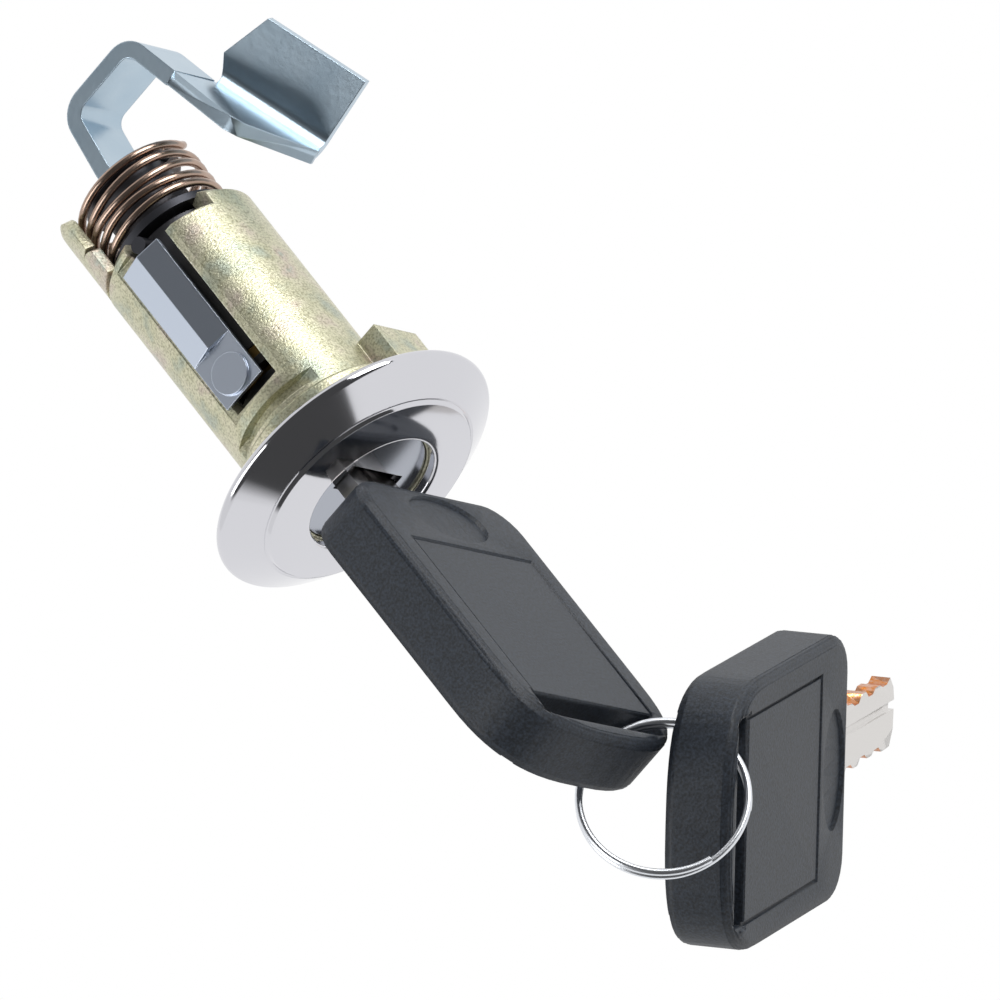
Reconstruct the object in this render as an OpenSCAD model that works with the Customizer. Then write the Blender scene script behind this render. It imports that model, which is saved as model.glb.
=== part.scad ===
// Trunk lock cylinder with return lever, two keys and a split ring.
// Y runs along the lock, from the key side at -Y to the lever at +Y.
// The origin is on the lock's axis, in the plane that seats on the panel.

/* [Barrel] */
// Outside diameter of the cast barrel
barrel_d = 20; // [19:0.1:22]
// Barrel length behind the panel plane
barrel_len = 36.7; // [36:0.1:40]
// Size of the bevel round the barrel's rear edge
barrel_bevel = 1.2; // [0.4:0.1:1.5]
// Diameter of the raised collar behind the flange
collar_d = 23.2; // [22:0.1:24]
// Length of the raised collar
collar_len = 5; // [3:0.1:5.5]
// Distance across the two anti-turn lugs
lug_span = 26; // [24.6:0.1:26.4]
// Height of each lug, down from the axis
lug_height = 8.4; // [5:0.1:8.4]
// Length of the lugs behind the panel plane
lug_len = 9.8; // [7:0.1:10]
// Width of the slot cut across the top behind the flange
cross_slot_w = 1.6; // [1:0.1:1.8]
// Depth of that slot
cross_slot_depth = 1.3; // [0.6:0.1:1.4]
// Distance of that slot from the panel plane
cross_slot_y = 6.3; // [6:0.1:6.6]

/* [Window] */
// Width of the window in the barrel's top
window_w = 7; // [6.6:0.1:7.6]
// Front end of the window
window_front = 10.2; // [9.5:0.1:11]
// Distance from the window's rear end to the barrel's rear edge
window_end = 2.7; // [2.5:0.1:2.9]
// Angle that the stop notch in the rear edge spans
notch_span = 71; // [70:1:73]
// Length of the stop notch, measured from the rear edge
notch_len = 3; // [3:0.1:3.2]

/* [Escutcheon] */
// Diameter over the chrome rim
rim_d = 36.7; // [36:0.1:38]
// Diameter at the step between the cone and the inner ring
step_d = 27.8; // [26:0.1:29]
// Diameter of the opening
opening_d = 16.8; // [16.8:0.1:17.4]
// How far the step stands in front of the panel plane
step_h = 4.1; // [3.8:0.1:4.6]
// How far the inner ring stands in front of the panel plane
crown_h = 5; // [4.9:0.1:5.6]
// Thickness of the chrome shell
shell_t = 0.6; // [0.5:0.05:0.7]

/* [Plug] */
// Diameter of the turning plug
plug_d = 13.4; // [13:0.1:13.6]
// Diameter of the plug's head
plug_head_d = 16.2; // [15.6:0.1:16.4]
// Radial running clearance of the plug in its bore
plug_gap = 0.05; // [0.03:0.01:0.08]
// Diameter of the plug's tail
tail_d = 9.8; // [9.4:0.1:10.4]
// How far the plug's tail stands out behind the barrel
tail_len = 10.7; // [10.3:0.1:11.3]
// Diameter of the stop pin
stop_d = 2; // [1.8:0.1:2.2]

/* [Tumblers] */
// Distance of the first wafer from the panel plane
wafer_first = 3.2; // [3:0.1:3.6]
// Distance from one wafer to the next
wafer_pitch = 2.5; // [2.4:0.05:2.6]
// Thickness of a wafer
wafer_t = 1.3; // [1.1:0.05:1.4]
// Width of a wafer
wafer_w = 7; // [6.6:0.1:7.2]
// Depth of the channels that the wafers drop into when the key is out
channel_depth = 1.3; // [1:0.1:1.4]

/* [Lever] */
// Thickness of the lever strip
strip_t = 2; // [1.8:0.1:2.2]
// Width of the lever strip
strip_w = 8; // [7.4:0.1:8.2]
// How far the lever stands out behind the barrel
lever_reach = 21; // [19:0.1:23]
// Length of the lever's cross leg between its bends
cross_leg = 6.6; // [5:0.1:8]
// Length of the returning leg up to the paddle's neck
return_leg = 5.6; // [5:0.1:7]
// Length of the paddle along its fold
paddle_len = 15; // [13:0.1:17]
// Height of the paddle above its fold
paddle_h = 7.6; // [6.6:0.1:9]

/* [Return spring] */
// Wire diameter of the return spring
coil_wire = 1; // [0.8:0.05:1.1]
// Mean diameter of the coil
coil_d = 15.4; // [14.6:0.1:16]
// Number of turns
coil_turns = 4.5; // [3.5:1:4.5]
// Distance from one turn to the next
coil_pitch = 1.6; // [1.3:0.05:1.7]

/* [Key] */
// Width of the key's plastic head
head_w = 31.4; // [30:0.1:33]
// Length of the plastic head
head_len = 41.1; // [39:0.1:43]
// Thickness of the plastic head
head_t = 8; // [7.6:0.1:8.4]
// How far the head's middle lies beside the blade's
head_shift = 1.4; // [0:0.1:1.6]
// Gap between the plug's face and the head
head_gap = 6.4; // [5.8:0.1:7]
// Width of the blade
blade_w = 9.4; // [9:0.1:9.6]
// Thickness of the blade
blade_t = 2.3; // [2:0.1:2.4]
// Length of the blade in front of the head
blade_len = 29; // [28.6:0.1:30]
// Half the length of the slot for the ring
slot_half = 12.2; // [11:0.1:12.6]
// Width of the slot for the ring
slot_w = 3.5; // [3.3:0.1:3.8]
// Width of the bar between the slot and the head's end
bar_w = 2.6; // [2.4:0.1:3]

/* [Ring] */
// Mean diameter of the split ring
ring_d = 19.2; // [19:0.1:19.4]
// Wire diameter of the split ring
ring_wire = 0.85; // [0.8:0.05:0.9]

/* [Hidden] */
$fn = 96;
wafer_count = 6;
// a small overlap so that a cut passes its face
cut = 0.1;
// clearance between pieces that are fixed to each other
fit_gap = 0.05;
barrel_r = barrel_d / 2;
window_rear = barrel_len - window_end;
bore_r = plug_d / 2 + plug_gap;
lip_t = shell_t;
lip_inner_r = 15.6;
flange_back = -lip_t - fit_gap;
head_bore_r = plug_head_d / 2 + 2 * plug_gap;
plug_face_y = -3;
plug_shoulder_y = -0.8;
face_t = 0.35;
tail_start = barrel_len - 0.5;
tail_end = barrel_len + tail_len;
keyway_w = blade_t + 0.3;
keyway_h = blade_w + 0.3;
channel_r = bore_r + channel_depth;
channel_w = wafer_w + 0.6;
channel_end = wafer_first + wafer_pitch * (wafer_count - 1) + wafer_t + 1;
spring_x = 4.6;
// half the height of the pocket that a wafer's ear moves in
ear_room = 2.05;
stop_angle = 90;
notch_start = stop_angle + 10;
stop_y = barrel_len - 1.8;
stop_root = plug_d / 2 - 2;
washer_t = 1;
washer_d = 15.8;
// the spring's straight leg lies in a groove in the barrel's left side
leg_x = -coil_d / 2 - 1.5;
leg_z = -0.9;
leg_len = 6.4;
lever_hook_y = tail_end + 0.9;
rivet_d = 2.4;
// the lever's bends
lean = 8;
lean_r = 4;
bend_r = 2.6;
return_turn = 78.4;
fold_r = 2.6;
skew = 21.7;
lever_start = tail_start + 2.6;
first_leg = 9.4;
second_leg = (barrel_len + lever_reach - strip_t / 2 - bend_r - lever_start - first_leg) / cos(lean) + 0.35;
rivet_y = tail_start + 6;
clip_left = -window_w / 2 - 0.45;
clip_right = 2.3;
clip_t = 0.5;
clip_seat = barrel_r - 1.1;
ridge_x = -0.8;
coil_start = barrel_len + washer_t + fit_gap + coil_wire / 2 + 0.2;
head_front = plug_face_y - face_t - head_gap;
head_end = head_front - head_len;
pocket_x = keyway_w / 2 + 0.05;
hinge_x = 2.45;
hinge_y = -1.45;
// how deep each cut goes, from the head to the tip, for the top and the bottom edge of the blade
cuts_top = [0.9, 1.4, 0.5, 1.3, 0.7, 1.1];
cuts_low = [1.2, 0.6, 1.4, 0.8, 1.3, 0.6];
// where the second key and the ring hang
ring_at = [1.641, -55.082, -8.119];
ring_turn = [4.29, 36.89, 0];
key_2_at = [2.642, -38.715, -57.928];
key_2_turn = [-73.69, 15.66, -49.54];

function arc(c, r, from, to, n) =
    [for (i = [0:n]) let (a = from + (to - from) * i / n) [c[0] + r * cos(a), c[1] + r * sin(a)]];
function power(v, p) = sign(v) * pow(abs(v), p);
function oval(half_x, half_y, p, from, to, n) =
    [for (i = [0:n]) let (a = from + (to - from) * i / n) [half_x * power(cos(a), 2 / p), half_y * power(sin(a), 2 / p)]];
function shift(points, by) = [for (q = points) q + by];
function wafer_y(i) = wafer_first + wafer_pitch * i;
function wafer_up(i) = i % 2 == 0 ? 1 : -1;

// lays a profile drawn as [radius, distance behind the panel] round the Y axis
module lathe(points, angle = 360) {
    rotate([-90, 0, 0]) rotate_extrude(angle = angle) polygon([for (p = points) [p[0], p[1]]]);
}

module rod(d, from, to) {
    translate([0, from, 0]) rotate([-90, 0, 0]) cylinder(d = d, h = to - from);
}

// a wire bent along a list of points
module wire(path, d, sides) {
    n = len(path);
    function heading(i) = let (v = path[min(i + 1, n - 1)] - path[max(i - 1, 0)]) v / norm(v);
    function side(i, ref) = let (s = cross(heading(i), ref)) s / norm(s);
    ref = [0.01, 1, 0.02];
    rings = [for (i = [0:n - 1]) let (s = side(i, ref), u = cross(s, heading(i)))
        for (k = [0:sides - 1]) path[i] + d / 2 * (cos(360 * k / sides) * s + sin(360 * k / sides) * u)];
    walls = [for (i = [0:n - 2]) for (k = [0:sides - 1])
        [i * sides + k, i * sides + (k + 1) % sides, (i + 1) * sides + (k + 1) % sides, (i + 1) * sides + k]];
    polyhedron(rings, concat([[for (k = [0:sides - 1]) sides - 1 - k]], walls,
        [[for (k = [0:sides - 1]) (n - 1) * sides + k]]), convexity = 8);
}

function helix(r, pitch, turns, start, steps) = [for (i = [0:turns * steps]) let (a = start + 360 * i / steps)
    [r * sin(a), pitch * i / steps, r * cos(a)]];

module housing() {
    color("darkkhaki") difference() {
        union() {
            lathe([[bore_r, barrel_len], [barrel_r - barrel_bevel, barrel_len], [barrel_r, barrel_len - barrel_bevel],
                [barrel_r, collar_len + 0.4], [collar_d / 2 - 0.4, collar_len], [collar_d / 2, collar_len - 0.4],
                [collar_d / 2, flange_back], [rim_d / 2 - shell_t - 0.35, flange_back],
                [rim_d / 2 - shell_t - 0.15, flange_back - 0.3], [rim_d / 2 - shell_t - 0.5, flange_back - 0.6],
                [step_d / 2 - 0.55, shell_t + 0.15 - step_h], [opening_d / 2 + shell_t + fit_gap, shell_t + 0.25 - crown_h],
                [opening_d / 2 + shell_t + fit_gap, shell_t + 0.75 - crown_h], [head_bore_r, shell_t + 0.75 - crown_h],
                [head_bore_r, plug_shoulder_y + plug_gap], [bore_r, plug_shoulder_y + plug_gap]]);
            for (side = [-1, 1]) lug(side);
        }
        rod(2 * bore_r, -cut, collar_len + lug_len);
        for (up = [-1, 1]) wafer_channel(up);
        translate([-window_w / 2, window_front, 0]) cube([window_w, window_rear - window_front, barrel_r + cut]);
        clip_ledge();
        translate([0, cross_slot_y, 0]) cross_slot();
        stop_notch();
        spring_groove();
    }
}

// rectangular lug that keeps the lock from turning in the panel
module lug(side) {
    x = side > 0 ? barrel_r - 2 : -lug_span / 2;
    translate([x, flange_back, -lug_height]) cube([lug_span / 2 - barrel_r + 2, lug_len - flange_back, lug_height]);
}

module wafer_channel(up) {
    intersection() {
        rod(2 * channel_r, wafer_first - 1, channel_end);
        translate([-channel_w / 2, 0, up > 0 ? 0 : -channel_r]) cube([channel_w, channel_end + 1, channel_r]);
    }
}

// shallow ledge round the window that the clip's edges rest on
module clip_ledge() {
    translate([-window_w / 2 - 0.9, window_front - 0.8, clip_seat])
        cube([window_w + 1.8, window_rear - window_front + 1.6, 1.2]);
}

module cross_slot() {
    difference() {
        translate([-barrel_r, 0, 0]) cube([barrel_d, cross_slot_w, barrel_r + 2]);
        translate([0, -cut, 0]) rod(barrel_d - 2 * cross_slot_depth, 0, cross_slot_w + 2 * cut);
        translate([-barrel_r - cut, -cut, -cut]) cube([barrel_d + 2 * cut, cross_slot_w + 2 * cut, barrel_r * 0.76]);
    }
}

module spring_groove() {
    deep = barrel_r + leg_x - coil_wire / 2 - 0.05 + coil_wire;
    translate([-barrel_r - cut, coil_start - leg_len - 0.2, leg_z - coil_wire / 2 - 0.1])
        cube([deep + cut, leg_len, coil_wire + 0.2]);
}

module stop_notch() {
    translate([0, barrel_len - notch_len, 0]) rotate([-90, 0, 0]) rotate([0, 0, -notch_start])
        rotate_extrude(angle = notch_span) translate([bore_r - 0.5, 0]) square([barrel_r, notch_len + cut]);
}

module escutcheon() {
    rim_r = rim_d / 2;
    color("silver") lathe(concat([[lip_inner_r, 0], [rim_r - 0.7, 0]],
        arc([rim_r - 0.75, -0.75], 0.75, 70, -60, 7),
        [[step_d / 2, -step_h], [step_d / 2 - 0.15, -step_h - 0.3], [opening_d / 2 + 0.6, -crown_h]],
        arc([opening_d / 2 + 0.45, 0.45 - crown_h], 0.45, 250, 180, 4),
        [[opening_d / 2, shell_t + 0.7 - crown_h], [opening_d / 2 + shell_t, shell_t + 0.7 - crown_h],
        [opening_d / 2 + shell_t, shell_t + 0.2 - crown_h], [step_d / 2 - 0.6, shell_t + 0.1 - step_h],
        [rim_r - shell_t - 0.45, flange_back - 0.65], [rim_r - shell_t - 0.1, flange_back - 0.3],
        [rim_r - shell_t - 0.3, -lip_t], [lip_inner_r, -lip_t]]));
}

module plug() {
    color("dimgray") difference() {
        union() {
            rod(plug_d, plug_shoulder_y, tail_start);
            rod(plug_head_d, plug_face_y, plug_shoulder_y);
            rod(tail_d, tail_start - 1, tail_end);
        }
        translate([-keyway_w / 2, plug_face_y - cut, -keyway_h / 2])
            cube([keyway_w, blade_len - head_gap + 1.5, keyway_h]);
        for (i = [0:wafer_count - 1]) wafer_slot(i);
        shutter_pocket();
        translate([-strip_t / 2 - fit_gap, tail_start + 2, -strip_w / 2 - fit_gap])
            cube([strip_t + 2 * fit_gap, tail_end, strip_w + 2 * fit_gap]);
        translate([-tail_d, rivet_y, 0]) rotate([0, 90, 0]) cylinder(d = rivet_d, h = 2 * tail_d);
        translate([0, stop_y, stop_root]) cylinder(d = stop_d, h = plug_d);
        difference() {
            rod(tail_d + 1, tail_end - 1.5, tail_end - 0.7);
            rod(tail_d - 1, tail_end - 2, tail_end);
        }
    }
}

module wafer_slot(i) {
    slot_t = wafer_t + 0.1;
    translate([-wafer_w / 2 - 0.05, wafer_y(i) - slot_t / 2, -plug_d]) cube([wafer_w + 0.1, slot_t, 2 * plug_d]);
    translate([0, wafer_y(i) - slot_t / 2, -ear_room]) cube([spring_x + 0.85, slot_t, 2 * ear_room]);
    spring_pocket(i, 1.4);
}

// hole for the small spring that pushes the wafer's ear
module spring_pocket(i, d) {
    up = wafer_up(i);
    translate([spring_x, wafer_y(i), up > 0 ? -3.7 : 0]) cylinder(d = d, h = 3.7, $fn = 24);
}

module shutter_pocket() {
    translate([pocket_x - cut, plug_face_y + 0.2, -4.2]) cube([2.1, 2.6, 8.4]);
    translate([pocket_x - cut, plug_face_y - cut, -3.9]) cube([1.5, 5.3, 7.8]);
    translate([hinge_x, hinge_y, -5.1]) cylinder(d = 1, h = 10.2, $fn = 24);
}

module plug_face() {
    color("gainsboro") difference() {
        rod(plug_head_d, plug_face_y - face_t, plug_face_y);
        translate([-keyway_w / 2 - 0.1, plug_face_y - face_t - cut, -keyway_h / 2 - 0.1])
            cube([keyway_w + 1, face_t + 2 * cut, keyway_h + 0.2]);
    }
}

module stop_pin() {
    color("gray") translate([0, stop_y, stop_root]) cylinder(d = stop_d, h = barrel_r - 0.6 - stop_root);
}

// a wafer as the uncut blade holds it, so its spring can still push it on by the depth of its cut
module wafer(i) {
    up = wafer_up(i);
    travel = up > 0 ? cuts_low[i] : cuts_top[i];
    color("goldenrod") difference() {
        union() {
            intersection() {
                translate([-wafer_w / 2, wafer_y(i) - wafer_t / 2, -plug_d]) cube([wafer_w, wafer_t, 2 * plug_d]);
                rod(plug_d - 0.2, 0, channel_end);
                translate([0, 0, -up * travel]) rod(plug_d - 0.2, 0, channel_end);
            }
            translate([0, wafer_y(i) - wafer_t / 2, -0.5]) cube([spring_x + 0.7, wafer_t, 1]);
        }
        translate([-keyway_w / 2, wafer_y(i) - wafer_t, -blade_w / 2 - fit_gap])
            cube([keyway_w, 2 * wafer_t, blade_w + 2 * fit_gap]);
    }
}

// the small wafer springs, each drawn as closed turns of wire
module wafer_springs() {
    wire_d = 0.3;
    color("silver") for (i = [0:wafer_count - 1])
        translate([spring_x, wafer_y(i), wafer_up(i) > 0 ? -3.5 : 0.65]) rotate_extrude($fn = 24)
            for (turn = [0:9]) translate([0.45, turn * (wire_d - 0.02)]) circle(d = wire_d, $fn = 16);
}

module shutter_flap() {
    color("silver") difference() {
        union() {
            translate([hinge_x, hinge_y, -3.7]) cylinder(d = 1.6, h = 4.6, $fn = 32);
            translate([hinge_x - 0.8, hinge_y + 0.9, -3.7]) cube([0.35, 2.3, 7.4]);
            translate([hinge_x - 0.8, hinge_y - 0.3, -3.7]) cube([0.35, 1.3, 4.6]);
        }
        translate([hinge_x, hinge_y, -5]) cylinder(d = 1.06, h = 10, $fn = 32);
    }
}

module shutter_pin() {
    color("gray") translate([hinge_x, hinge_y, -5]) cylinder(d = 1, h = 10, $fn = 32);
}

module shutter_spring() {
    color("silver") translate([hinge_x, hinge_y, 1.4]) rotate([90, 0, 0])
        wire(helix(0.66, 0.4, 5, 0, 12), 0.22, 5);
}

// pressed steel clip in the window, with a ridge along it and a round dimple at its front
module retaining_clip() {
    dimple = [ridge_x, window_front + 4, clip_seat];
    color("lightsteelblue") difference() {
        union() {
            clip_plate();
            translate(dimple) cylinder(r = 2.5, h = clip_t + 0.4);
        }
        translate(dimple + [0, 0, -cut]) cylinder(r = 2, h = 0.5);
    }
}

module clip_plate() {
    front = window_front + 1.2;
    back = window_rear - 0.4;
    ridge = window_front + 8.2;
    translate([0, ridge, clip_seat]) rotate([90, 0, 0]) linear_extrude(ridge - front)
        polygon([[clip_left, 0], [clip_right, 0], [clip_right, clip_t], [clip_left, clip_t]]);
    translate([0, back, clip_seat]) rotate([90, 0, 0]) linear_extrude(back - ridge + cut)
        polygon([[clip_left, 0], [ridge_x, 0.7], [clip_right, 0], [clip_right, clip_t], [ridge_x, clip_t + 0.7],
            [clip_left, clip_t]]);
}

module tail_washer() {
    color("gray") difference() {
        rod(washer_d, barrel_len + fit_gap, barrel_len + fit_gap + washer_t);
        rod(tail_d + 0.1, barrel_len, barrel_len + 2 * washer_t);
    }
}

module tail_clip() {
    color("gray") difference() {
        rod(tail_d + 3, tail_end - 1.45, tail_end - 0.75);
        rod(tail_d - 0.9, tail_end - 2, tail_end);
        translate([0, tail_end - 2, -1.2]) cube([tail_d, 2, 2.4]);
    }
}

module torsion_spring() {
    r = coil_d / 2;
    turns = helix(r, coil_pitch, coil_turns, -84, 24);
    rear = coil_pitch * coil_turns;
    tail = lever_hook_y - coil_start;
    start = [[leg_x, -leg_len, leg_z], [leg_x, -1.5, leg_z], [leg_x + 0.2, -0.7, leg_z + 0.15],
        [leg_x + 0.9, -0.15, leg_z + 0.65]];
    finish = [[r - 0.2, rear + 0.5, -1.9], [r - 0.8, rear + 1.3, -2.7], [r - 1.6, tail - 0.3, -3],
        [r - 2.6, tail, -3], [strip_t / 2 + 0.25, tail, -3]];
    color("peru") translate([0, coil_start, 0]) wire(concat(start, turns, finish), coil_wire, 8);
}

// a strip's centre line is a list of [x, y, heading], with the heading counted from +Y towards +X
function along(p, len) = [p[0] + len * sin(p[2]), p[1] + len * cos(p[2]), p[2]];
function turned(p, angle, r) = let (h = p[2], a = p[2] + angle)
    [p[0] + r * cos(h) - r * cos(a), p[1] - r * sin(h) + r * sin(a), a];
function bend(p, angle, r) = [for (k = [0:9]) turned(p, angle * k / 9, r)];
function ribbon(path, t) = concat([for (p = path) [p[0] + t / 2 * cos(p[2]), p[1] - t / 2 * sin(p[2])]],
    [for (k = [len(path) - 1:-1:0]) let (p = path[k]) [p[0] - t / 2 * cos(p[2]), p[1] + t / 2 * sin(p[2])]]);
function lever_path() = let (foot = [0, lever_start, 0], knee = along(foot, first_leg),
    shin = along(turned(knee, lean, lean_r), second_leg), top = along(turned(shin, 90 - lean, bend_r), cross_leg),
    neck = along(turned(top, return_turn, bend_r), return_leg))
    concat([foot], bend(knee, lean, lean_r), bend(shin, 90 - lean, bend_r), bend(top, return_turn, bend_r), [neck]);

module lever() {
    path = lever_path();
    neck = path[len(path) - 1];
    color("lightsteelblue") difference() {
        union() {
            translate([0, 0, -strip_w / 2]) linear_extrude(strip_w) polygon(ribbon(path, strip_t));
            translate([neck[0], neck[1], 0]) rotate([0, 0, -neck[2]]) paddle();
        }
        translate([-strip_t, rivet_y, 0]) rotate([0, 90, 0]) cylinder(d = rivet_d, h = 2 * strip_t);
    }
}

// the strip widens to one side and folds over into a wide paddle; each part is a little thinner
module paddle() {
    thinner = 0.1;
    low = thinner - strip_w / 2;
    far = paddle_len - 0.3;
    web_t = strip_t - 2 * thinner;
    corner = [paddle_len * cos(skew), low - paddle_len * sin(skew)];
    translate([-web_t / 2, 0, 0]) rotate([90, 0, 90]) linear_extrude(web_t)
        polygon([[-1.5, -low], [9.8, -low], [11.2, -low - 1.4], corner + 0.8 * [sin(skew), cos(skew)], corner, [0, low],
            [-1.5, low]]);
    translate([0, 0, low]) rotate([-skew, 0, 0]) intersection() {
        translate([0, paddle_len + 1, 0]) rotate([90, 0, 0]) linear_extrude(paddle_len + 3) fold_profile(web_t - 2 * thinner);
        translate([0, 0, -2 * fold_r]) linear_extrude(3 * fold_r) polygon([[strip_t, 0.3], [-fold_r / 2, 0.3],
            [-fold_r - 1.4, -1.1], [-fold_r - paddle_h, 1.4], [-fold_r - paddle_h, far + 0.4],
            [-fold_r, far], [strip_t, far]]);
    }
}

// section through the fold, from the widened strip to the paddle
module fold_profile(t) {
    fold = bend([0, 0, 180], 90, fold_r);
    polygon(ribbon(concat([[0, 0.6, 180]], fold, [along(fold[9], paddle_h)]), t));
}

module lever_rivet() {
    color("gray") translate([-tail_d / 2 - 0.4, rivet_y, 0]) rotate([0, 90, 0]) cylinder(d = rivet_d, h = tail_d + 0.8);
}

// outline of the key's head, drawn along the blade and set in by a margin
function head_outline(inset) = concat(
    shift(arc([0, 0], 5 - inset, 0, 90, 6), [head_front - 5, head_w / 2 - 5]),
    shift([for (p = oval(1, 1, 2.8, 90, 270, 26)) [p[0] * (12 - inset), p[1] * (head_w / 2 - inset)]],
        [head_end + 12, 0]),
    shift(arc([0, 0], 5 - inset, 270, 360, 6), [head_front - 5, 5 - head_w / 2]));

module slab(points, from, to) {
    translate([from, 0, 0]) rotate([90, 0, 90]) linear_extrude(to - from) polygon(points);
}

module key_head() {
    deep = 12;
    side = blade_w / 2 + fit_gap;
    half = blade_t / 2 + fit_gap;
    color("darkslategray") difference() {
        translate([head_shift, 0, 0]) bow();
        slab([[head_front - deep, -side], [head_front + cut, -side], [head_front + cut, side], [head_front - deep, side]],
            -half, half);
    }
}

// the plastic head, with softened edges, a slot for the ring and a framed panel on both sides
module bow() {
    half = head_t / 2;
    edge = 1.1;
    soft = 0.8;
    difference() {
        union() {
            slab(head_outline(0), edge - half, half - edge);
            for (a = [22.5, 45, 67.5])
                slab(head_outline(edge * (1 - cos(a))), edge * (1 - sin(a)) - half, half - edge * (1 - sin(a)));
            slab(head_outline(edge), -half, half);
        }
        slab(ring_slot(0), -head_t, head_t);
        for (side = [0, 180]) rotate([0, side, 0]) {
            for (a = [22.5, 45, 67.5]) slab(ring_slot(soft * (1 - cos(a))), half - soft * (1 - sin(a)), head_t);
            slab(shift(oval(3.7, 7.2, 2, 0, 348, 29), [head_front - 4.9, 0]), half - 0.5, head_t);
            panel_groove(half - 0.5);
        }
    }
}

// the slot for the ring, with a curved outer edge, grown by a margin
function ring_slot(grow) = let (inner = head_end + bar_w + slot_w, deep = slot_w + grow, half = slot_half + grow)
    concat([[inner + grow, half]], [for (p = oval(1, 1, 7, 90, 270, 20)) [inner + p[0] * deep, p[1] * half]],
        [[inner + grow, -half]]);

// narrow groove that frames the raised panel
module panel_groove(from) {
    front = head_front - 9.6;
    back = head_end + bar_w + slot_w - cut;
    wide = slot_half;
    difference() {
        slab([[front, -wide], [front, wide], [back, wide], [back, -wide]], from, head_t);
        slab([[front - 0.5, 0.5 - wide], [front - 0.5, wide - 0.5], [back - cut, wide - 0.5], [back - cut, 0.5 - wide]],
            from - cut, head_t / 2 - 0.12);
    }
}

// the blade's outline with its cuts on both edges
function blade_edge(depths, side) = [for (i = [0:len(depths) - 1]) each [
    [wafer_y(i) - wafer_pitch * 0.3, side * (blade_w / 2 - depths[i])],
    [wafer_y(i) + wafer_pitch * 0.3, side * (blade_w / 2 - depths[i])]]];

module key_blade() {
    tip = head_front + blade_len;
    half = blade_w / 2;
    low = blade_edge(cuts_low, -1);
    color("tan") difference() {
        slab(concat([[head_front - 11.9, half], [wafer_first - 2, half]], blade_edge(cuts_top, 1),
            [[tip - 1.6, half - 0.5], [tip - 0.4, half - 1.8], [tip, half - 3.4], [tip - 0.2, 2.6 - half], [tip - 1.4, 0.7 - half]],
            [for (i = [len(low) - 1:-1:0]) low[i]], [[wafer_first - 2, -half], [head_front - 11.9, -half]]),
            -blade_t / 2, blade_t / 2);
        for (side = [0, 180]) rotate([0, side, 0])
            translate([blade_t / 2 - 0.7, head_front - 1, 0.2]) cube([1, blade_len + 2, 1.1]);
    }
}

// the two turns of the split ring, with a step where one passes into the other
module key_ring() {
    color("silver") translate(ring_at) rotate(ring_turn) rotate([90, 0, 0])
        wire([for (i = [6:90]) let (a = 8 * i, climb = min(1, max(0, (i - 42) / 10)))
            [ring_d / 2 * sin(a), (climb - 0.5) * ring_wire * 1.06, ring_d / 2 * cos(a)]], ring_wire, 8);
}

module at_key_2() {
    translate(key_2_at) rotate(key_2_turn) children();
}

module wafer_1() { wafer(0); }
module wafer_2() { wafer(1); }
module wafer_3() { wafer(2); }
module wafer_4() { wafer(3); }
module wafer_5() { if (wafer_count > 4) wafer(4); }
module wafer_6() { if (wafer_count > 5) wafer(5); }
module key_1_blade() { key_blade(); }
module key_1_head() { key_head(); }
module key_2_blade() { at_key_2() key_blade(); }
module key_2_head() { at_key_2() key_head(); }

housing();
escutcheon();
plug();
plug_face();
stop_pin();
wafer_1();
wafer_2();
wafer_3();
wafer_4();
wafer_5();
wafer_6();
wafer_springs();
shutter_flap();
shutter_pin();
shutter_spring();
retaining_clip();
tail_washer();
tail_clip();
torsion_spring();
lever();
lever_rivet();
key_1_blade();
key_1_head();
key_ring();
key_2_blade();
key_2_head();
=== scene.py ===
import math
import bpy
import bmesh
from mathutils import Euler, Matrix, Vector


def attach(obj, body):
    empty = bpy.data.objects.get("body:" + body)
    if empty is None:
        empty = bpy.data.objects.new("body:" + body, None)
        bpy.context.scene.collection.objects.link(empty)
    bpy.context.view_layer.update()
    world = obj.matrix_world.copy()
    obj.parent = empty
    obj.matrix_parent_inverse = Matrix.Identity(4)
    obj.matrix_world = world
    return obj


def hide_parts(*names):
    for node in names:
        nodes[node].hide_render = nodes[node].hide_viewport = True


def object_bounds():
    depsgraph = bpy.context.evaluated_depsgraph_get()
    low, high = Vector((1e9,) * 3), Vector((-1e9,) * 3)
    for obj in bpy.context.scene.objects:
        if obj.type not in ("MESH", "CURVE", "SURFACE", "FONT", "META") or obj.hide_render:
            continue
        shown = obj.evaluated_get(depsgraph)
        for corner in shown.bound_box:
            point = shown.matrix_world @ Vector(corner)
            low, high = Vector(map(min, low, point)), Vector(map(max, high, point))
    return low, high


# Trunk lock cylinder with its lever, two keys and a split ring.
# Lengths in the piece and finish dictionaries are in millimetres, angles in degrees.

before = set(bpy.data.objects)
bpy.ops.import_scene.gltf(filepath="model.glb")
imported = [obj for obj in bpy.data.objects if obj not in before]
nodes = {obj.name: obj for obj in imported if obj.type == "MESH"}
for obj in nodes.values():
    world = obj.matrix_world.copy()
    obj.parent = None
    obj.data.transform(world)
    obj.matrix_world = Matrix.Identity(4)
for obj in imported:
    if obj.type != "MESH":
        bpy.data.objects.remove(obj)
firstBounds = [list(corner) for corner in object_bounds()]
mm = 0.001
bevelSamples = 6


# sRGB hex to linear colour
def hexToLinear(code):
    channels = [int(code[i:i + 2], 16) / 255 for i in (0, 2, 4)]
    return [c / 12.92 if c <= 0.04045 else ((c + 0.055) / 1.055) ** 2.4 for c in channels] + [1.0]


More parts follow.
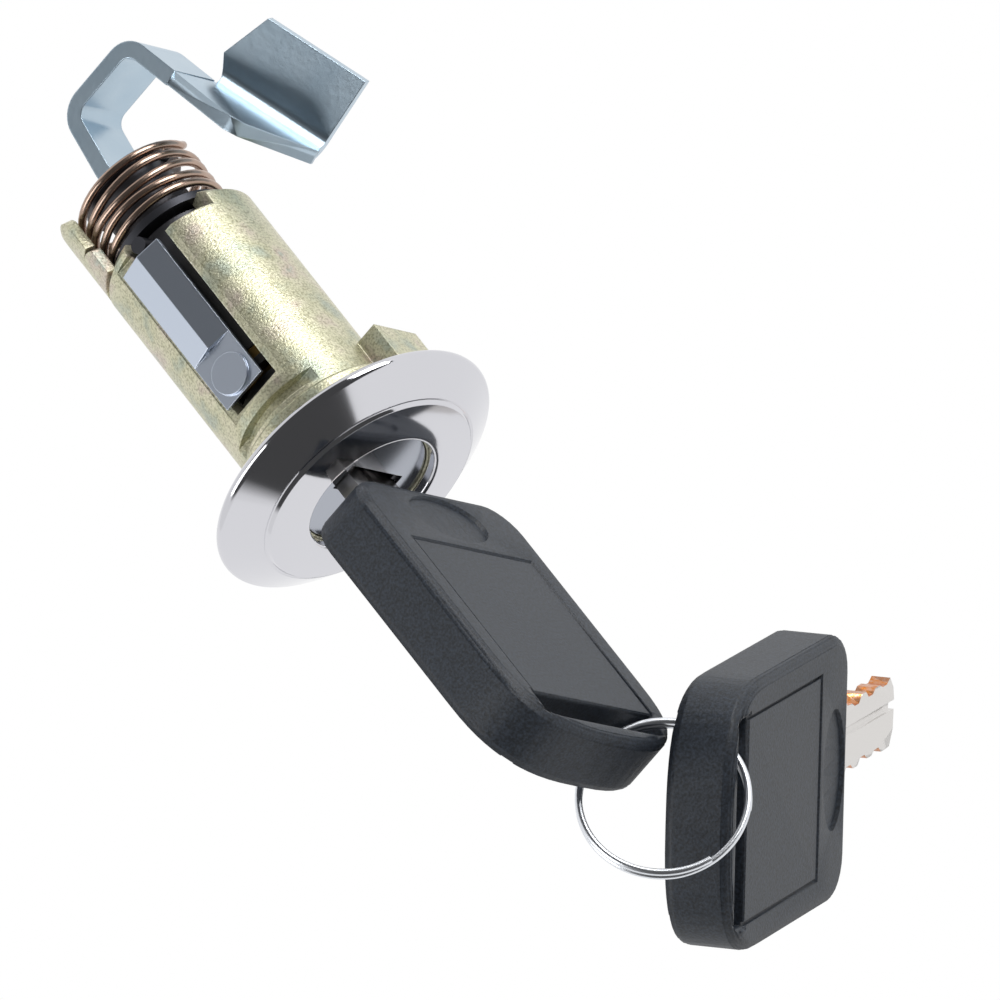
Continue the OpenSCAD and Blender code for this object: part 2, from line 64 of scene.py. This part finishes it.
# adds a node; inputs are values, or (node, output) to link from; stops fill a colour ramp
def addNode(tree, kind, settings=None, inputs=None, stops=()):
    node = tree.nodes.new(kind)
    for key, value in (settings or {}).items():
        setattr(node, key, value)
    for key, value in (inputs or {}).items():
        if isinstance(value, tuple) and isinstance(value[0], bpy.types.Node):
            tree.links.new(value[0].outputs[value[1]], node.inputs[key])
        else:
            node.inputs[key].default_value = value
    if stops:
        band = node.color_ramp.elements
        while len(band) < len(stops):
            band.new(0.5)
        for element, (place, colour) in zip(band, stops):
            element.position = place
            element.color = hexToLinear(colour)
    return node


def newMaterial(name):
    mat = bpy.data.materials.new(name)
    mat.use_nodes = True
    mat.node_tree.nodes.clear()
    return mat, mat.node_tree


# object coordinates in millimetres
def objectPoint(tree):
    coords = addNode(tree, "ShaderNodeTexCoord")
    return addNode(tree, "ShaderNodeVectorMath", {"operation": "SCALE"},
                   {0: (coords, "Object"), "Scale": 1 / mm})


# grain height and stain patch of every plain metal; the grain of a rolled or plated skin is
# far finer than a pixel, so it is drawn coarser than the real one
metalSkin = {"stainPatch": 5.56, "grainHeight": 0.05}


# plain metal with a rounded edge, fine grain and a slow change of tint
def metalMaterial(name, colour, roughness, edge=0.15, grain=0.0, grainSize=0.3, stain=None,
                  stainAmount=0.0):
    mat, tree = newMaterial(name)
    point = objectPoint(tree)
    patch = addNode(tree, "ShaderNodeTexNoise", {},
                    {"Vector": (point, "Vector"), "Scale": 1 / metalSkin["stainPatch"],
                     "Detail": 3.0})
    mask = addNode(tree, "ShaderNodeMath", {"operation": "MULTIPLY"},
                   {0: (patch, "Fac"), 1: stainAmount})
    tint = addNode(tree, "ShaderNodeMix", {"data_type": "RGBA"},
                   {"Factor": (mask, "Value"), "A": hexToLinear(colour),
                    "B": hexToLinear(stain or colour)})
    fine = addNode(tree, "ShaderNodeTexNoise", {},
                   {"Vector": (point, "Vector"), "Scale": 1 / grainSize, "Detail": 3.0})
    rounded = addNode(tree, "ShaderNodeBevel", {"samples": bevelSamples}, {"Radius": edge * mm})
    bump = addNode(tree, "ShaderNodeBump", {},
                   {"Height": (fine, "Fac"), "Distance": metalSkin["grainHeight"] * mm,
                    "Strength": grain, "Normal": (rounded, "Normal")})
    shader = addNode(tree, "ShaderNodeBsdfPrincipled", {},
                     {"Base Color": (tint, "Result"), "Metallic": 1.0, "Roughness": roughness,
                      "Normal": (bump, "Normal")})
    addNode(tree, "ShaderNodeOutputMaterial", {}, {"Surface": (shader, "BSDF")})
    return mat


castSkin = {"filmPatch": 4.55, "speckSize": 0.294, "grainSize": 0.25, "grainHeight": 0.07,
            "edge": 0.25,
            "film": [(0.32, "B4BBAA"), (0.46, "CDCBAE"), (0.56, "D6D2B8"), (0.66, "CFC3B4"),
                     (0.76, "AFC0B4")],
            "speck": [(0.34, "8F8C78"), (0.56, "FFFFFF")]}


# die-cast zinc, yellow passivated: a sand-like, half dull skin and a faint rainbow in the film
def castZincMaterial(p):
    mat, tree = newMaterial("castZincYellowPassivated")
    point = objectPoint(tree)
    patch = addNode(tree, "ShaderNodeTexNoise", {},
                    {"Vector": (point, "Vector"), "Scale": 1 / p["filmPatch"], "Detail": 4.0})
    film = addNode(tree, "ShaderNodeValToRGB", {}, {"Fac": (patch, "Fac")}, p["film"])
    pits = addNode(tree, "ShaderNodeTexNoise", {},
                   {"Vector": (point, "Vector"), "Scale": 1 / p["speckSize"], "Detail": 3.0})
    dark = addNode(tree, "ShaderNodeValToRGB", {}, {"Fac": (pits, "Fac")}, p["speck"])
    colour = addNode(tree, "ShaderNodeMix", {"data_type": "RGBA", "blend_type": "MULTIPLY"},
                     {"Factor": 0.55, "A": (film, "Color"), "B": (dark, "Color")})
    sand = addNode(tree, "ShaderNodeTexNoise", {},
                   {"Vector": (point, "Vector"), "Scale": 1 / p["grainSize"], "Detail": 4.0})
    rounded = addNode(tree, "ShaderNodeBevel", {"samples": bevelSamples},
                      {"Radius": p["edge"] * mm})
    bump = addNode(tree, "ShaderNodeBump", {},
                   {"Height": (sand, "Fac"), "Distance": p["grainHeight"] * mm,
                    "Strength": 0.7, "Normal": (rounded, "Normal")})
    shader = addNode(tree, "ShaderNodeBsdfPrincipled", {},
                     {"Base Color": (colour, "Result"), "Metallic": 0.85, "Roughness": 0.36,
                      "Normal": (bump, "Normal")})
    addNode(tree, "ShaderNodeOutputMaterial", {}, {"Surface": (shader, "BSDF")})
    return mat


plasticSkin = {"black": "14181D", "fleck": "2B323C", "grainSize": 0.3125, "grainHeight": 0.06,
               "edge": 0.3}


# black plastic moulded in a spark-eroded tool: dull, with fine pale flecks where the grain
# catches the light; the real grain of about 0.1 mm is drawn coarser, to show
def grainedPlasticMaterial(p):
    mat, tree = newMaterial("plasticBlackGrained")
    point = objectPoint(tree)
    fine = addNode(tree, "ShaderNodeTexNoise", {},
                   {"Vector": (point, "Vector"), "Scale": 1 / p["grainSize"], "Detail": 3.0})
    tint = addNode(tree, "ShaderNodeValToRGB", {}, {"Fac": (fine, "Fac")},
                   [(0.35, p["black"]), (0.68, p["fleck"])])
    rounded = addNode(tree, "ShaderNodeBevel", {"samples": bevelSamples},
                      {"Radius": p["edge"] * mm})
    bump = addNode(tree, "ShaderNodeBump", {},
                   {"Height": (fine, "Fac"), "Distance": p["grainHeight"] * mm,
                    "Strength": 0.7, "Normal": (rounded, "Normal")})
    shader = addNode(tree, "ShaderNodeBsdfPrincipled", {},
                     {"Base Color": (tint, "Color"), "Roughness": 0.52,
                      "Normal": (bump, "Normal")})
    addNode(tree, "ShaderNodeOutputMaterial", {}, {"Surface": (shader, "BSDF")})
    return mat


bladeSkin = {"nickel": "D8D5D2", "brass": "CF7F3A", "wearSize": 0.5, "wearHeight": 0.03,
             "edge": 0.12}


# nickel-plated brass: grey and fairly bright, with warm bare metal where the cuts were milled
def bladeMaterial(p):
    mat, tree = newMaterial("nickelBrassBlade")
    point = objectPoint(tree)
    bare = addNode(tree, "ShaderNodeAttribute", {"attribute_name": "bare"})
    fine = addNode(tree, "ShaderNodeTexNoise", {},
                   {"Vector": (point, "Vector"), "Scale": 1 / p["wearSize"], "Detail": 4.0})
    worn = addNode(tree, "ShaderNodeMath", {"operation": "MULTIPLY_ADD", "use_clamp": True},
                   {0: (fine, "Fac"), 1: 1.2, 2: 0.25})
    mask = addNode(tree, "ShaderNodeMath", {"operation": "MULTIPLY", "use_clamp": True},
                   {0: (bare, "Fac"), 1: (worn, "Value")})
    tint = addNode(tree, "ShaderNodeMix", {"data_type": "RGBA"},
                   {"Factor": (mask, "Value"), "A": hexToLinear(p["nickel"]),
                    "B": hexToLinear(p["brass"])})
    rounded = addNode(tree, "ShaderNodeBevel", {"samples": bevelSamples},
                      {"Radius": p["edge"] * mm})
    bump = addNode(tree, "ShaderNodeBump", {},
                   {"Height": (fine, "Fac"), "Distance": p["wearHeight"] * mm,
                    "Strength": 0.3, "Normal": (rounded, "Normal")})
    shader = addNode(tree, "ShaderNodeBsdfPrincipled", {},
                     {"Base Color": (tint, "Result"), "Metallic": 1.0, "Roughness": 0.3,
                      "Normal": (bump, "Normal")})
    addNode(tree, "ShaderNodeOutputMaterial", {}, {"Surface": (shader, "BSDF")})
    return mat


castZinc = castZincMaterial(castSkin)
headPlastic = grainedPlasticMaterial(plasticSkin)
keyNickel = bladeMaterial(bladeSkin)
# polished chromium plate: hard-edged bands of white paper and dark room
chrome = metalMaterial("chromePolished", "D3D3D8", 0.09, edge=0.12)
# blue-passivated zinc on rolled sheet: cold, soft reflections that drift in tint
blueZinc = metalMaterial("sheetSteelBlueZinc", "C3D2DD", 0.3, edge=0.2, grain=0.25,
                         grainSize=0.8, stain="A3BACB", stainAmount=0.9)
# the same plating on a small pressing: evener and a little bluer
clipZinc = metalMaterial("pressedClipZinc", "C9D2E0", 0.3, edge=0.15, grain=0.1)
# coppered spring wire, drawn smooth: brown lines with a bright streak along each coil
coppered = metalMaterial("springWireCoppered", "CBB3A4", 0.24, edge=0.05, grain=0.1,
                         stain="7A6252", stainAmount=0.9)
# bare cast zinc gone dark: a dull grey with little sheen
darkCast = metalMaterial("castZincDark", "5A5A5E", 0.45, edge=0.1, grain=0.4)
# pressed steel cap with a satin shine: softer bands than the chrome beside it
plugSteel = metalMaterial("pressedSteelSatin", "A9ADB6", 0.16, edge=0.1)
# steel painted nearly black as shade, for the tail washer that sits in the dark, with a low sheen
shadeDarkSteel = metalMaterial("steelPaintedShadeDark", "4A4B50", 0.4, edge=0.08)
# plain drawn or stamped steel: mid grey and half dull
plainSteel = metalMaterial("steelPlain", "9A9A9E", 0.35, edge=0.08)
# stamped brass: a dull yellow brown
waferBrass = metalMaterial("brassStamped", "8E7448", 0.4, edge=0.05)
# nickel-plated ring wire: pale, with one soft streak
ringSteel = metalMaterial("ringWireNickel", "E2E5EA", 0.3, edge=0.05)
print("materials ready")


def meshObject(name, mesh, body, mat, replaces=()):
    obj = bpy.data.objects.new(name, mesh)
    bpy.context.scene.collection.objects.link(obj)
    mesh.materials.clear()
    mesh.materials.append(mat)
    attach(obj, body)
    if replaces:
        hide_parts(*replaces)
    return obj


def smoothByAngle(mesh, angle):
    mesh.polygons.foreach_set("use_smooth", [True] * len(mesh.polygons))
    mesh.set_sharp_from_angle(angle=math.radians(angle))


# mesh of points and faces, with its faces turned outwards
def outwardMesh(name, verts, faces):
    mesh = bpy.data.meshes.new(name)
    mesh.from_pydata(verts, [], faces)
    bm = bmesh.new()
    bm.from_mesh(mesh)
    bmesh.ops.recalc_face_normals(bm, faces=bm.faces)
    bm.to_mesh(mesh)
    bm.free()
    return mesh


# plain mesh of a curve or of an object with modifiers; the source is removed
def toMesh(obj, name):
    bpy.context.view_layer.update()
    depsgraph = bpy.context.evaluated_depsgraph_get()
    mesh = bpy.data.meshes.new_from_object(obj.evaluated_get(depsgraph), depsgraph=depsgraph)
    mesh.name = name
    mesh.transform(obj.matrix_world)
    data = obj.data
    bpy.data.objects.remove(obj)
    if data.users == 0:
        (bpy.data.curves if isinstance(data, bpy.types.Curve) else bpy.data.meshes).remove(data)
    return mesh


# node group that sweeps a round wire along a curve
def wireGroup():
    group = bpy.data.node_groups.new("sweptWire", "GeometryNodeTree")
    sockets = group.interface
    sockets.new_socket("Geometry", in_out="INPUT", socket_type="NodeSocketGeometry")
    sockets.new_socket("Radius", in_out="INPUT", socket_type="NodeSocketFloat")
    sockets.new_socket("Sides", in_out="INPUT", socket_type="NodeSocketInt")
    sockets.new_socket("Material", in_out="INPUT", socket_type="NodeSocketMaterial")
    sockets.new_socket("Geometry", in_out="OUTPUT", socket_type="NodeSocketGeometry")
    source = addNode(group, "NodeGroupInput")
    circle = addNode(group, "GeometryNodeCurvePrimitiveCircle", {},
                     {"Resolution": (source, "Sides"), "Radius": (source, "Radius")})
    sweep = addNode(group, "GeometryNodeCurveToMesh", {},
                    {"Curve": (source, "Geometry"), "Profile Curve": (circle, "Curve"),
                     "Fill Caps": True})
    real = addNode(group, "GeometryNodeRealizeInstances", {}, {"Geometry": (sweep, "Mesh")})
    coat = addNode(group, "GeometryNodeSetMaterial", {},
                   {"Geometry": (real, "Geometry"), "Material": (source, "Material")})
    addNode(group, "NodeGroupOutput", {}, {"Geometry": (coat, "Geometry")})
    return group


sweptWire = wireGroup()
wireFinish = {"sides": 16, "sharpAngle": 50}


# round wire along points
def tube(name, points, diameter, mat):
    curve = bpy.data.curves.new(name, "CURVE")
    curve.dimensions = "3D"
    spline = curve.splines.new("POLY")
    spline.points.add(len(points) - 1)
    for p, q in zip(spline.points, points):
        p.co = (q[0] * mm, q[1] * mm, q[2] * mm, 1)
    obj = bpy.data.objects.new(name, curve)
    bpy.context.scene.collection.objects.link(obj)
    mod = obj.modifiers.new("sweptWire", "NODES")
    mod.node_group = sweptWire
    given = {"Radius": diameter / 2 * mm, "Sides": wireFinish["sides"], "Material": mat}
    for item in sweptWire.interface.items_tree:
        if item.in_out == "INPUT" and item.name in given:
            mod[item.identifier] = given[item.name]
    mesh = toMesh(obj, name)
    smoothByAngle(mesh, wireFinish["sharpAngle"])
    return mesh


# Catmull-Rom curve through the points
def smoothPath(points, steps):
    path = []
    for i in range(len(points) - 1):
        a, b = points[max(i - 1, 0)], points[i]
        c, d = points[i + 1], points[min(i + 2, len(points) - 1)]
        for k in range(steps):
            t = k / steps
            path.append([0.5 * (2 * b[j] + (c[j] - a[j]) * t
                                + (2 * a[j] - 5 * b[j] + 4 * c[j] - d[j]) * t * t
                                + (3 * b[j] - a[j] - 3 * c[j] + d[j]) * t ** 3)
                         for j in range(3)])
    path.append(list(points[-1]))
    return path


# turns (radius, distance behind the panel) points round the Y axis
def lathe(name, section, segments):
    verts, faces = [], []
    count = len(section)
    for s in range(segments):
        a = 2 * math.pi * s / segments
        for r, y in section:
            verts.append((r * math.cos(a) * mm, y * mm, r * math.sin(a) * mm))
    for s in range(segments):
        t = (s + 1) % segments
        for i in range(count):
            j = (i + 1) % count
            faces.append((s * count + i, s * count + j, t * count + j, t * count + i))
    return outwardMesh(name, verts, faces)


def arc(cx, cy, r, start, end, count):
    angles = [math.radians(start + (end - start) * i / count) for i in range(count + 1)]
    return [(cx + r * math.cos(a), cy + r * math.sin(a)) for a in angles]


# the chrome escutcheon, turned from its section; rimFold is (inwards, height) in the rim's fold
escutcheonPiece = {"seatRadius": 15.6, "rimRadius": 18.35, "stepRadius": 13.9,
                   "openingRadius": 8.4, "stepHeight": 4.1, "crownHeight": 5.0, "shell": 0.6,
                   "rimRound": 0.75, "beadRound": 0.25, "beadOut": 0.1, "coneTop": 0.14,
                   "crownFoot": [0.35, 0.32], "crownEnd": 0.6, "openingRound": 0.45,
                   "lipDepth": 0.7, "rimFold": [(0.45, 1.3), (0.1, 0.95), (0.3, 0.6)],
                   "segments": 256, "sharpAngle": 32}


def buildEscutcheon(p):
    seat, rim, step, opening = (p[key + "Radius"] for key in ("seat", "rim", "step", "opening"))
    edge, bead, roll, shell = p["rimRound"], p["beadRound"], p["openingRound"], p["shell"]
    shoulder, crown, out = -p["stepHeight"], -p["crownHeight"], p["beadOut"]
    # outside: round rim, cone, bead, crown and the rolled opening
    section = [(seat, 0), (rim - edge + 0.05, 0)]
    section += arc(rim - edge, -edge, edge, 80, -60, 14)
    section += [(step + bead, shoulder + p["coneTop"])]
    section += arc(step + out, shoulder - out, bead, 50, 150, 5)
    section += [(step - p["crownFoot"][0], shoulder - p["crownFoot"][1]),
                (opening + p["crownEnd"], crown)]
    section += arc(opening + roll, crown + roll, roll, 250, 180, 8)
    # inside: the lip, the shell's back and the fold that grips the flange
    section += [(opening, crown + shell + p["lipDepth"]),
                (opening + shell, crown + shell + p["lipDepth"]),
                (opening + shell, crown + shell + 0.2), (step - shell, shoulder + shell + 0.1)]
    section += [(rim - shell - inwards, -height) for inwards, height in p["rimFold"]]
    section += [(seat, -shell)]
    mesh = lathe("escutcheonChrome", section, p["segments"])
    smoothByAngle(mesh, p["sharpAngle"])
    meshObject("escutcheonChrome", mesh, "body", chrome, ["escutcheon"])


buildEscutcheon(escutcheonPiece)
print("escutcheon ready")

# cast post on the barrel's rear edge, beside the return spring;
# wall and ear are the distances behind the panel and the angles that they run between
postPiece = {"inner": 8.6, "outer": 9.9, "wall": [36.4, 41.2, 124, 196],
             "ear": [41.0, 46.2, 128, 158], "endRound": 1.2, "steps": 20, "sharpAngle": 40}


# part of a ring wall between two distances and two angles, with rounded ends
def sector(name, p, low, high, start, end):
    verts, faces = [], []
    for i in range(p["steps"] + 1):
        t = i / p["steps"]
        a = math.radians(start + (end - start) * t)
        top = high - p["endRound"] * abs(2 * t - 1) ** 4
        for r, y in ((p["inner"], low), (p["outer"], low), (p["outer"], top), (p["inner"], top)):
            verts.append((r * math.cos(a) * mm, y * mm, r * math.sin(a) * mm))
    for i in range(p["steps"]):
        for k in range(4):
            n = (k + 1) % 4
            faces.append((4 * i + k, 4 * i + n, 4 * i + 4 + n, 4 * i + 4 + k))
    faces += [(3, 2, 1, 0), tuple(4 * p["steps"] + k for k in range(4))]
    mesh = outwardMesh(name, verts, faces)
    smoothByAngle(mesh, p["sharpAngle"])
    return mesh


def buildPost(p):
    for name in ("wall", "ear"):
        mesh = sector("springPost", p, *p[name])
        meshObject("springPost" + name.title(), mesh, "body", castZinc)


buildPost(postPiece)
print("post ready")

# the return spring, wound round the plug's tail from start, with its rear end at hook;
# frontBend is measured from the leg's line, rearBend from the last coil
springPiece = {"meanRadius": 7.7, "pitch": 1.6, "turns": 4.5, "wire": 1.0, "start": 38.45,
               "hook": 48.3, "sway": 0.28, "swayPerTurn": 2.3, "firstAngle": -84,
               "turnSteps": 48, "bendSteps": 6, "legLength": 6.4, "legOut": 1.5, "legDrop": 0.9,
               "frontBend": [(0, -1.5, 0), (0.2, -0.7, 0.15), (0.9, -0.15, 0.65)],
               "rearBend": [(0.2, 0.5, -1.9), (0.8, 1.3, -2.7)],
               "hookDrop": 3, "hookEnd": 1.25}


def buildSpring(p):
    r, rear, tail = p["meanRadius"], p["pitch"] * p["turns"], p["hook"] - p["start"]
    x, z, first = -r - p["legOut"], -p["legDrop"], math.radians(p["firstAngle"])
    leg = [[x, -p["legLength"], z]] + [[x + a, b, z + c] for a, b, c in p["frontBend"]]
    leg.append([r * math.sin(first), 0, r * math.cos(first)])
    points = smoothPath(leg, p["bendSteps"])[:-1]
    count = int(p["turns"] * p["turnSteps"])
    for i in range(count + 1):
        a = math.radians(p["firstAngle"] + 360 * i / p["turnSteps"])
        sway = p["sway"] * math.sin(math.pi * i / count) * math.sin(p["swayPerTurn"] * a)
        points.append([r * math.sin(a), p["pitch"] * i / p["turnSteps"] + sway, r * math.cos(a)])
    hook = [points[-1]] + [[r - a, rear + b, c] for a, b, c in p["rearBend"]]
    hook += [[r - 1.6, tail - 0.3, -p["hookDrop"]], [r - 2.6, tail, -p["hookDrop"]],
             [p["hookEnd"], tail, -p["hookDrop"]]]
    points += smoothPath(hook, p["bendSteps"])[1:]
    mesh = tube("returnSpring", [[q[0], q[1] + p["start"], q[2]] for q in points], p["wire"],
                coppered)
    meshObject("returnSpring", mesh, "body", coppered, ["torsion_spring"])


buildSpring(springPiece)
print("return spring ready")

# the split ring: two close turns of wire; between climbFrom and climbTo the wire steps over
# to the second turn, gap wire diameters away
ringPiece = {"meanDiameter": 19.2, "wire": 0.85, "gap": 1.06, "firstAngle": 48,
             "lastAngle": 720, "angleStep": 2, "climbFrom": 336, "climbTo": 416,
             "place": [1.641, -55.082, -8.119], "turn": [4.29, 36.89, 0]}


# the same place and turn that the CAD gives a piece, in millimetres
def placed(place, turn):
    angles = Euler([math.radians(a) for a in turn], "XYZ")
    return Matrix.Translation(Vector(place)) @ angles.to_matrix().to_4x4()


def buildRing(p):
    where, radius = placed(p["place"], p["turn"]), p["meanDiameter"] / 2
    points = []
    for angle in range(p["firstAngle"], p["lastAngle"] + 1, p["angleStep"]):
        a = math.radians(angle)
        climb = (angle - p["climbFrom"]) / (p["climbTo"] - p["climbFrom"])
        side = (min(1, max(0, climb)) - 0.5) * p["wire"] * p["gap"]
        points.append(where @ Vector((radius * math.sin(a), -radius * math.cos(a), side)))
    mesh = tube("splitRing", points, p["wire"], ringSteel)
    meshObject("splitRing", mesh, "ring", ringSteel, ["key_ring"])


buildRing(ringPiece)
print("ring ready")

mergeDistance = 0.002


# the CAD node's mesh with its points merged: edges under the angle are shaded round, and the
# normals follow the largest faces, so that flats stay flat
def copiedMesh(node, angle):
    mesh = nodes[node].data.copy()
    bm = bmesh.new()
    bm.from_mesh(mesh)
    bmesh.ops.remove_doubles(bm, verts=bm.verts, dist=mergeDistance * mm)
    bm.to_mesh(mesh)
    bm.free()
    if mesh.has_custom_normals:
        mesh.normals_split_custom_set([(0, 0, 0)] * len(mesh.loops))
    smoothByAngle(mesh, angle)
    obj = bpy.data.objects.new(node + "Copy", mesh)
    bpy.context.scene.collection.objects.link(obj)
    even = obj.modifiers.new("evenNormals", "WEIGHTED_NORMAL")
    even.mode = "FACE_AREA"
    even.weight = 100
    even.keep_sharp = True
    return toMesh(obj, node + "Even")


# plastic heads, from the solids' own shape
headPiece = {"sharpAngle": 35}


def buildHead(p, name, node, body):
    mesh = copiedMesh(node, p["sharpAngle"])
    meshObject(name, mesh, body, headPlastic, [node])


buildHead(headPiece, "keyOneHead", "key_1_head", "key_1")
buildHead(headPiece, "keyTwoHead", "key_2_head", "key_2")
print("key heads ready")

# the lever strip, from the solid's own shape
leverPiece = {"sharpAngle": 25}


def buildLever(p):
    mesh = copiedMesh("lever", p["sharpAngle"])
    meshObject("leverStrip", mesh, "plug", blueZinc, ["lever"])


buildLever(leverPiece)
print("lever ready")

# the blades; a face is milled bare past cutFrom, between cutDepth and halfWidth from the
# blade's middle, unless it looks sideways by more than flatNormal
bladePiece = {"sharpAngle": 30, "cutFrom": 0.2, "cutDepth": 2.6, "halfWidth": 4.65,
              "flatNormal": 0.5}
keyTwo = {"place": [2.642, -38.715, -57.928], "turn": [-73.69, 15.66, -49.54]}


# the CAD blade with an attribute that marks its milled edges; where is its place in metres
def buildBlade(p, name, node, body, where):
    mesh = copiedMesh(node, p["sharpAngle"])
    back = where.inverted()
    turnBack = back.to_3x3()
    bare = mesh.attributes.new("bare", "FLOAT", "FACE")
    for face in mesh.polygons:
        centre = back @ face.center
        milled = (abs((turnBack @ face.normal).x) < p["flatNormal"]
                  and centre.y > p["cutFrom"] * mm
                  and p["cutDepth"] * mm < abs(centre.z) < p["halfWidth"] * mm)
        bare.data[face.index].value = 1.0 if milled else 0.0
    meshObject(name, mesh, body, keyNickel, [node])


keyTwoPlace = placed([v * mm for v in keyTwo["place"]], keyTwo["turn"])
buildBlade(bladePiece, "keyOneBlade", "key_1_blade", "key_1", Matrix.Identity(4))
buildBlade(bladePiece, "keyTwoBlade", "key_2_blade", "key_2", keyTwoPlace)
print("blades ready")

# finishes of the CAD nodes that stay as they are
# the stop pin and tail washer take the nearly black steel, whose black is painted shade
finishes = {"housing": castZinc, "plug": darkCast, "plug_face": plugSteel,
            "stop_pin": shadeDarkSteel, "retaining_clip": clipZinc, "tail_washer": shadeDarkSteel,
            "tail_clip": plainSteel, "lever_rivet": plainSteel, "shutter_flap": plainSteel,
            "shutter_pin": plainSteel, "shutter_spring": plainSteel,
            "wafer_springs": plainSteel}
waferCount = 6
for number in range(1, waferCount + 1):
    finishes[f"wafer_{number}"] = waferBrass
for node, mat in finishes.items():
    cad = nodes[node]
    cad.data.materials.clear()
    cad.data.materials.append(mat)
print("CAD nodes painted")

# photograph's viewing angle: right, up and towards the camera, in the lock's frame
viewRight = Vector((0.6210, -0.5447, -0.5636))
viewUp = Vector((0.7155, 0.6876, 0.1236))
viewBack = Vector((0.3202, -0.4800, 0.8167))

# camera, lights, paper and floor are in metres; the picture is imagePixels wide
cameraSetup = {"distance": 2.0, "imagePixels": 1000, "pixelsPerMm": 8.77, "sensor": 36,
               "right": 0.017104, "up": -0.003991, "clipEnd": 10}
aim = viewRight * cameraSetup["right"] + viewUp * cameraSetup["up"]


def buildCamera(p):
    data = bpy.data.cameras.new("photoCamera")
    data.sensor_fit = "HORIZONTAL"
    data.sensor_width = p["sensor"]
    data.lens = p["sensor"] * p["distance"] / (p["imagePixels"] / p["pixelsPerMm"] * mm)
    data.clip_end = p["clipEnd"]
    cam = bpy.data.objects.new("photoCamera", data)
    bpy.context.scene.collection.objects.link(cam)
    turn = Matrix((viewRight, viewUp, viewBack)).transposed()
    cam.matrix_world = Matrix.Translation(aim + viewBack * p["distance"]) @ turn.to_4x4()
    bpy.context.scene.camera = cam


# soft boxes above and left; direction is given as right, up, back of the camera
lamps = {"keyLight": {"direction": (0.45, 1.0, 0.6), "distance": 1.0, "size": (0.8, 0.5),
                      "watts": 9},
         "fillLight": {"direction": (-0.9, -0.35, 0.5), "distance": 1.0, "size": (0.5, 0.8),
                       "watts": 4}}


def buildLamp(name, p):
    data = bpy.data.lights.new(name, "AREA")
    data.shape = "RECTANGLE"
    data.size, data.size_y = p["size"]
    data.energy = p["watts"]
    obj = bpy.data.objects.new(name, data)
    bpy.context.scene.collection.objects.link(obj)
    right, up, back = p["direction"]
    way = (viewRight * right + viewUp * up + viewBack * back).normalized()
    turn = way.to_track_quat("Z", "Y").to_matrix()
    obj.matrix_world = Matrix.Translation(aim + way * p["distance"]) @ turn.to_4x4()


# 1 for what the camera sees, straight or in a mirror or glass
def seenRay(tree):
    path = addNode(tree, "ShaderNodeLightPath")
    first = addNode(tree, "ShaderNodeMath", {"operation": "MAXIMUM"},
                    {0: (path, "Is Camera Ray"), 1: (path, "Is Glossy Ray")})
    return addNode(tree, "ShaderNodeMath", {"operation": "MAXIMUM"},
                   {0: (first, "Value"), 1: (path, "Is Transmission Ray")})


# edge is where paper turns to room, as the part of a direction that points at the camera
studio = {"edge": [0.18, 0.3], "paper": 0.9, "room": 0.07, "fill": 0.6, "fillColour": "E4EAF2"}


# white paper all round; reflections of what lies behind the camera show a dim room
def buildWorld(p):
    world = bpy.data.worlds.new("paleStudio")
    world.use_nodes = True
    bpy.context.scene.world = world
    tree = world.node_tree
    tree.nodes.clear()
    way = addNode(tree, "ShaderNodeNewGeometry")
    towards = addNode(tree, "ShaderNodeVectorMath", {"operation": "DOT_PRODUCT"},
                      {0: (way, "Incoming"), 1: [-c for c in viewBack]})
    dim = addNode(tree, "ShaderNodeMapRange", {},
                  {"Value": (towards, "Value"), "From Min": p["edge"][0],
                   "From Max": p["edge"][1], "To Min": p["paper"], "To Max": p["room"]})
    path = addNode(tree, "ShaderNodeLightPath")
    straight = addNode(tree, "ShaderNodeMath", {"operation": "MAXIMUM"},
                       {0: (path, "Is Camera Ray"), 1: (dim, "Result")})
    plain = addNode(tree, "ShaderNodeBackground", {},
                    {"Color": hexToLinear(p["fillColour"]), "Strength": p["fill"]})
    white = addNode(tree, "ShaderNodeBackground", {},
                    {"Color": hexToLinear("FFFFFF"), "Strength": (straight, "Value")})
    mix = addNode(tree, "ShaderNodeMixShader", {},
                  {0: (seenRay(tree), "Value"), 1: (plain, 0), 2: (white, 0)})
    addNode(tree, "ShaderNodeOutputWorld", {}, {"Surface": (mix, 0)})


floorPiece = {"below": 0.004, "size": 6, "colour": "F4F4F4"}


# matt paper under the part: pure white to the camera, plain paper to the light
def buildFloor(p, lowest):
    mat, tree = newMaterial("paperPaleMatt")
    paper = addNode(tree, "ShaderNodeBsdfDiffuse", {}, {"Color": hexToLinear(p["colour"])})
    glow = addNode(tree, "ShaderNodeEmission", {},
                   {"Color": hexToLinear("FFFFFF"), "Strength": 1.0})
    mix = addNode(tree, "ShaderNodeMixShader", {},
                  {0: (seenRay(tree), "Value"), 1: (paper, 0), 2: (glow, 0)})
    addNode(tree, "ShaderNodeOutputMaterial", {}, {"Surface": (mix, 0)})
    mesh = bpy.data.meshes.new("floor")
    half, level = p["size"] / 2, lowest - p["below"]
    mesh.from_pydata([(-half, -half, level), (half, -half, level), (half, half, level),
                      (-half, half, level)], [], [(0, 1, 2, 3)])
    mesh.materials.append(mat)
    obj = bpy.data.objects.new("floor", mesh)
    bpy.context.scene.collection.objects.link(obj)


buildCamera(cameraSetup)
buildWorld(studio)
buildFloor(floorPiece, firstBounds[0][2])
for name, lamp in lamps.items():
    buildLamp(name, lamp)
bpy.context.scene.view_settings.view_transform = "Standard"
print("camera, lights and floor ready")

print("scene ready")
